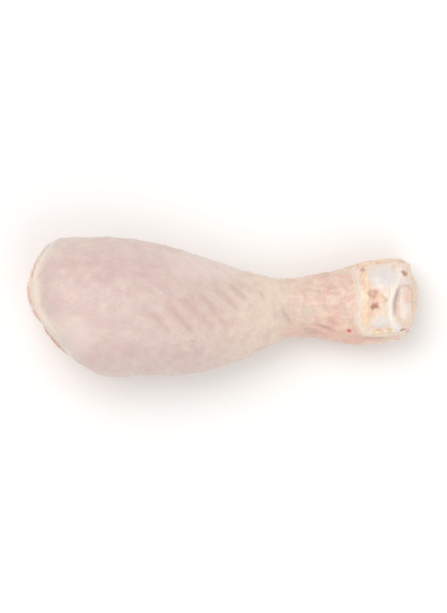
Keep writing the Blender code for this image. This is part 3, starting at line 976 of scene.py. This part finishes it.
def make_hock():
    hock, way, angle = closed_form("hock_joint", HOCK_ROUND, HOCK_RINGS)
    first = float(LEG.share_at(JOINT_START))
    share = 1 - (1 - first) * np.minimum(1, (1 - way) / (1 - HOCK_CLOSING))
    form = leg_surface(share, angle)
    facing = outward(leg_surface, share, angle)
    along, half_width, half_height = LEG.at(share)
    top = ease(facing[:, 2], 0.10, 0.55)
    cap = ease(along, 0.1300, 0.1350)
    seen = np.maximum(top, cap)
    beyond_skin = HOCK_EDGE.past(along, angle - sway(along, angle))
    bare = ease(beyond_skin, -2.2, -0.2)
    open_flesh = ease(beyond_skin, -0.3, 1.4)

    ridge = stroke(form, RIDGE, 1.6, tips=0.10)
    groove = stroke(form, GROOVE, 1.0, tips=0.35)
    lip = stroke(form, OUTER_LIP, 1.1, tips=0.15)
    lobe = spot(form, *LOBE) ** 0.7
    pad_high = spot(form, *HIGH_PAD) ** 0.6
    pad_low = spot(form, *LOW_PAD) ** 0.6
    plate = ease(along, 0.1180, 0.1200) * (1 - ease(along, 0.1245, 0.1265))
    shifts = [cloud(form, 1.4, layer) * 0.8 * MM for layer in (35, 36, 37)]
    warped = form + np.stack(shifts, axis=-1)
    band = stroke(warped, FAT_BAND, 0.95, tips=0.15)
    flushed_band = stroke(warped, FLUSHED_BAND, 0.9, tips=0.2)
    arc = stroke(form, WHITE_ARC, 1.1, tips=0.2)
    beneath_arc = stroke(warped, ARC_SHADE, 0.55, tips=0.2)
    vein = stroke(warped, ORANGE_VEIN, 0.6, tips=0.2)
    blotch = spot(warped, *BLOTCH)
    blotch_ring = 4 * blotch * (1 - blotch)
    hole = spot(warped, *VEIN_HOLE)
    gap = most(spot(warped, middle, (radius * 1.5, radius * 1.2)) for middle, radius in GAP_SHADE_SPOTS)
    yellow = most(spot(warped, *patch) for patch in YELLOW_SPOTS)

    across = np.cos(angle) * half_width / MM
    up = np.sin(angle) * half_height / MM
    wandering = across + 1.1 * cloud(form, 3.0, 41) + 0.4 * cloud(form, 1.2, 43)
    climbing = up + 1.1 * cloud(form, 3.0, 42)
    knuckle = np.zeros(len(form))
    for middle, height_up, half_across, half_up in KNUCKLES:
        dome = 1 - ((wandering - middle) / half_across) ** 2 - ((climbing - height_up) / half_up) ** 2
        knuckle = np.maximum(knuckle, ease(dome, 0, 0.8))
    knuckle *= ease(along, 0.1325, 0.1360)
    tendon = np.zeros(len(form))
    for middle, height_up, radius in CUT_TENDONS:
        reach = np.hypot(wandering - middle, 0.8 * (climbing - height_up)) / radius
        tendon = np.maximum(tendon, np.clip(1.5 - reach, 0, 1.5))
    tendon_face = ease(tendon, 0.45, 0.75) * cap
    tendon_edge = hump(tendon, 0.42, 0.16) * cap
    knuckles = 0.55 * knuckle - 0.45 * hump(across, -1.4, 1.2)
    fine = 0.24 * cloud(form, 2.6, 31, 2) + 0.10 * cloud(form, 1.0, 32)
    relief = -BENEATH_SKIN / MM + 0.15 + 0.85 * bare + 0.22 * hump(beyond_skin, 0.1, 0.9)
    relief += open_flesh * (fine + cap * knuckles)
    relief -= END_DRAWN_BACK * ease(facing[:, 0], 0.55, 0.95)
    relief += top * (0.45 * band - 0.40 * plate * open_flesh + 0.90 * ridge - 0.75 * groove)
    relief += top * (0.60 * lobe + 0.45 * pad_high + 0.40 * pad_low)
    relief += seen * (0.55 * arc - 0.30 * beneath_arc)
    relief += open_flesh * (0.35 * tendon_face - 0.22 * tendon_edge)
    relief += seen * 0.6 * lip
    relief -= top * (0.25 * blotch_ring + 1.2 * hole + 0.35 * gap + 0.25 * yellow)
    relief = np.minimum(relief, 0.1)
    points = form + facing * (relief * MM)[:, None]
    close_end(points, along, np.clip((HOCK_CLOSING - way) / HOCK_CLOSING, 0, 1))
    set_points(hock, points)

    patches = ease(cloud(form, 2.4, 33, 2), 0.12, 0.5)
    flecks = ease(cloud(form, 1.8, 34), 0.25, 0.6)
    blob = spot(form, (128.6, -8.0), (2.2, 1.8))
    paint(hock, "fat", np.clip(0.9 * band + 0.9 * lip + 0.35 * patches * (1 - cap), 0, 1) * seen)
    yellowed = 1.5 * yellow + 0.5 * vein + 0.35 * flecks * (1 - cap) + 0.35 * lip
    paint(hock, "yellow", np.clip(yellowed, 0, 0.85) * seen)
    pearly = (ridge + 0.8 * lobe + 0.8 * blob) * top + 0.6 * tendon_face + 0.70 * knuckle
    paint(hock, "pearl", np.clip(pearly, 0, 1))
    coolness = 0.35 * knuckle * patches + 0.95 * pad_high + 0.9 * pad_low + 0.9 * arc + 0.4 * blob
    paint(hock, "cool", np.clip(coolness, 0, 0.95) * seen)
    flush = 0.5 * spot(form, (131.6, 3.4), (2.0, 3.8)) + 0.65 * spot(form, (120.6, 2.2), (3.0, 5.2))
    flush = flush + 0.5 * flushed_band + 0.5 * spot(form, (119.3, -3.0), (2.0, 1.6))
    fibres = cap * (1 - knuckle) * (1 - tendon_face) * (1 - lip)
    flush = flush + 0.30 * tendon_edge + fibres * (0.22 + 0.5 * patches) + 0.25 * cap * flecks
    paint(hock, "blush", np.clip(flush, 0, 1))
    # Painted shade: greyer in the groove, under the white arc and between the knuckles on the end face.
    painted_hollow_shade = 0.75 * groove + 0.4 * beneath_arc + 0.15 * cap * hump(across, -1.4, 0.9)
    paint(hock, "hollow_shade", np.clip(painted_hollow_shade, 0, 1) * seen)
    mottle = 0.75 + 0.5 * cloud(form, 0.9, 44)
    red_spot = 0.7 * spot(warped, *RED_SPOT)
    # The real pits, blotch and vein marks, and painted shade in the dark gaps.
    pits_and_gap_shade = red_spot + 0.10 * blotch_ring + 0.62 * blotch * mottle + 0.9 * hole + 0.85 * gap + 0.35 * vein
    paint(hock, "pit_and_gap_shade", np.clip(pits_and_gap_shade, 0, 0.9) * seen)
    smooth(hock)
    gristle_finish().on(hock)
    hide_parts("gristle")
    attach(hock, "root")


# ---- Small pieces: fat, sinews, the joint's capsule and torn flesh ----

# Each strand in millimetres: its path as (along, degrees round the leg, depth), its width and height.
KNEE_FAT = (
    (((5.5, 206, 2.2), (10.0, 207, 2.8), (15.0, 204, 2.7), (20.0, 206, 2.4)), 2.3, 1.2),
    (((6.0, 291, 2.2), (11.0, 290, 2.8), (16.0, 293, 2.7), (21.0, 291, 2.3)), 2.3, 1.2),
    (((5.0, 20, 1.9), (8.0, 22, 2.3), (11.0, 19, 2.4)), 1.9, 1.0),
    (((21.5, 246, 1.5), (23.5, 258, 1.5), (22.5, 270, 1.5)), 2.4, 0.8),
)
NEAR_FAT = (
    (111.4, 21, 1.1), (115.0, 18, 0.8), (119.6, 15, 0.8),
    (124.0, 14, 0.9), (128.0, 13, 0.9), (131.0, 14, 1.0),
)
HOCK_FAT = (
    (NEAR_FAT, 1.5, 0.7),
    (((116.4, 135, 1.0), (120.0, 140, 0.9), (124.0, 141, 0.9), (129.4, 140, 1.0)), 1.4, 0.6),
)
TORN_FLESH = (
    (((5.4, 24, 1.6), (5.0, 42, 1.4), (4.8, 62, 1.2), (4.9, 82, 1.3), (5.2, 102, 1.6)), 2.9, 0.9),
    (((115.4, 14, 0.6), (117.6, 11, 0.6), (119.6, 10, 0.6)), 1.1, 0.6),
    (((127.6, 11, 0.6), (129.6, 8, 0.2), (131.0, 10, 0.3)), 1.2, 0.6),
)
KNEE_SINEWS = (
    (((6.0, 248, 1.3), (9.5, 250, 1.2), (13.5, 246, 1.3), (17.0, 249, 1.6)), 2.3, 0.5),
    (((6.0, 330, 1.3), (9.5, 326, 1.3), (13.0, 322, 1.5)), 1.8, 0.5),
)


# The capsule's edge starts this far along, from a ring this thick.
CAPSULE_PLACE = 0.0056
RING_THICKNESS = 0.25
MELTING_ROUNDS = 14


def pull_about(piece, distance, seed):
    """Moves each corner of the piece at random by up to this many millimetres."""
    pick_up(piece)
    bpy.ops.object.mode_set(mode="EDIT")
    bpy.ops.mesh.select_all(action="SELECT")
    bpy.ops.transform.vertex_random(offset=distance * MM, uniform=0.2, normal=0.3, seed=seed)
    bpy.ops.object.mode_set(mode="OBJECT")


def join_as(name, pieces):
    put_down()
    for piece in pieces:
        piece.select_set(True)
    bpy.context.view_layer.objects.active = pieces[0]
    bpy.ops.object.join()
    joined = bpy.context.active_object
    joined.name = name
    joined.data.name = name
    return joined


def melt(piece, grain):
    """Melts balls that overlap into one soft body."""
    closing = piece.modifiers.new("closing", "REMESH")
    closing.mode = "VOXEL"
    closing.voxel_size = grain * MM
    smoother = piece.modifiers.new("smoother", "SMOOTH")
    smoother.factor = 0.5
    smoother.iterations = MELTING_ROUNDS
    pick_up(piece)
    for modifier in list(piece.modifiers):
        bpy.ops.object.modifier_apply(modifier=modifier.name)
    smooth(piece)


def strand(name, path, width, height, chance):
    """A soft strand of tissue that lies on the leg: uneven balls pressed together along a path."""
    path = np.array(path, float)
    steps = np.diff(path, axis=0) * (1, math.radians(1) * LIMB_RADIUS / MM, 1)
    marks = np.concatenate(((0.0,), np.cumsum(np.linalg.norm(steps, axis=1))))
    count = max(3, round(marks[-1] / (0.62 * width)))
    balls = []
    for number in range(count):
        mark = marks[-1] * number / (count - 1)
        along, degrees, depth = [np.interp(mark, marks, column) for column in path.T]
        aside = chance.uniform(-0.45, 0.45) * width
        along += chance.uniform(-0.3, 0.3) * width
        degrees += math.degrees(aside * MM / LIMB_RADIUS)
        point, facing = on_leg(along, degrees, depth + chance.uniform(-0.2, 0.2) * height)
        tips = 0.65 + 0.35 * math.sin(math.pi * number / (count - 1))
        size = chance.uniform(0.65, 1.15) * tips
        put_down()
        bpy.ops.mesh.primitive_ico_sphere_add(
            subdivisions=2,
            radius=1.0,
            location=point,
            rotation=facing.to_track_quat("Z", "X").to_euler(),
            scale=(width * size * MM, width * size * MM, height * size * MM),
        )
        ball = named(f"{name}_{number}")
        pull_about(ball, 0.16 * width, seed=number + 3)
        balls.append(ball)
    return join_as(name, balls)


def tissue(name, strands, grain, finish):
    """Strands laid down and melted into one piece, this fine in millimetres."""
    chance = random.Random(name)
    laid = [strand(f"{name}_{number}", *values, chance) for number, values in enumerate(strands)]
    piece = join_as(name, laid)
    melt(piece, grain)
    points = points_of(piece)
    points[:, 2] = np.maximum(points[:, 2], 0.05 * MM)
    set_points(piece, points)
    finish.on(piece)
    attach(piece, "root")


def make_small_pieces():
    fat = fat_finish()
    tissue("knee_fat", KNEE_FAT, 0.34, fat)
    tissue("hock_fat", HOCK_FAT, 0.26, fat)
    tissue("torn_flesh", TORN_FLESH, 0.26, flesh_finish())
    tissue("knee_sinews", KNEE_SINEWS, 0.26, sinew_finish())


def make_capsule():
    """The torn edge of the joint's capsule, spread from the side of the bone's head over the meat."""
    put_down()
    bpy.ops.mesh.primitive_torus_add(
        major_segments=180, minor_segments=20, major_radius=1.0, minor_radius=RING_THICKNESS
    )
    capsule = named("joint_capsule")
    ring = points_of(capsule)
    angle = np.arctan2(ring[:, 1], ring[:, 0])
    out = ((np.hypot(ring[:, 0], ring[:, 1]) - 1.0) / RING_THICKNESS + 1) / 2
    ahead = ring[:, 2] / RING_THICKNESS
    share = np.full(len(ring), BONE.share_at(CAPSULE_PLACE))
    form = bone_surface(share, angle)
    facing = outward(bone_surface, share, angle)
    spread = 1.9 + 1.4 * ragged(angle, 3, 51) + 0.5 * ragged(angle, 8, 55)
    reach = 1.9 + 0.9 * ragged(angle, 3, 52) + 0.25 * ragged(angle, 14, 53)
    points = form + facing * ((out * (spread + 0.5) - 0.8) * MM)[:, None]
    points[:, 0] -= (0.30 * ahead * (1 - 0.6 * out) + reach * (1 - out) ** 2) * MM
    points[:, 0] -= 0.10 * MM * cloud(points, (6, 1.8, 1.8), 54)
    across = np.cos(angle) * BONE.at(share)[1] / MM
    points[:, 0] += head_slant(across)
    set_points(capsule, points)
    smooth(capsule)
    capsule_finish().on(capsule)
    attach(capsule, "root")


# ---- The table, the lights and the camera ----


TABLE_SIZE = 6.0
WORLD_LIGHT = 0.73
LIGHTS_AIM = (0, 0, 0.015)
CAMERA_HEIGHT = 1.5
CAMERA_SEES = 20
SENSOR_SIZE = 36.0
# The picture's width as a share of its height, and the leg's length as a share of the picture's width.
PICTURE_SHAPE = 447 / 613
LEG_IN_PICTURE = 0.88


def make_table():
    bpy.ops.mesh.primitive_plane_add(size=TABLE_SIZE, location=(0, 0, 0))
    table = named("table")
    finish = Finish("pale table", roughness=0.6, wetness=0.0, flesh_depth=1.0)
    finish.shader.inputs["Subsurface Weight"].default_value = 0.0
    finish.colour((246, 245, 243))
    finish.on(table)


def soft_light(name, place_at, size, power):
    light = bpy.data.objects.new(name, bpy.data.lights.new(name, "AREA"))
    light.data.shape = "DISK"
    light.data.size = size
    light.data.energy = power
    light.location = place_at
    light.rotation_euler = (Vector(place_at) - Vector(LIGHTS_AIM)).to_track_quat("Z", "Y").to_euler()
    bpy.context.scene.collection.objects.link(light)


def make_studio():
    world = bpy.data.worlds.new("studio")
    world.use_nodes = True
    sky = world.node_tree.nodes["Background"]
    sky.inputs["Color"].default_value = (1.0, 1.0, 1.0, 1.0)
    sky.inputs["Strength"].default_value = WORLD_LIGHT
    bpy.context.scene.world = world
    soft_light("key light", (-0.30, 0.38, 0.95), size=0.80, power=4.5)
    soft_light("fill light", (0.30, -0.60, 0.80), size=0.90, power=2.1)


def make_camera():
    low, high = CAD_BOX
    middle = (Vector(low) + Vector(high)) / 2
    camera = bpy.data.objects.new("camera", bpy.data.cameras.new("camera"))
    picture_width = (high.x - low.x) / LEG_IN_PICTURE
    camera.data.sensor_width = SENSOR_SIZE
    distance = CAMERA_HEIGHT - middle.z
    camera.data.lens = SENSOR_SIZE / 2 * PICTURE_SHAPE * distance / (picture_width / 2)
    camera.location = (middle.x, middle.y, CAMERA_HEIGHT)
    camera.rotation_euler = (0, 0, 0)
    camera.data.clip_end = CAMERA_SEES
    bpy.context.scene.collection.objects.link(camera)
    bpy.context.scene.camera = camera
    bpy.context.scene.view_settings.view_transform = "Standard"
    bpy.context.scene.view_settings.look = "None"


make_camera()
make_skin()
make_meat()
make_bone()
make_hock()
make_capsule()
make_small_pieces()
make_table()
make_studio()
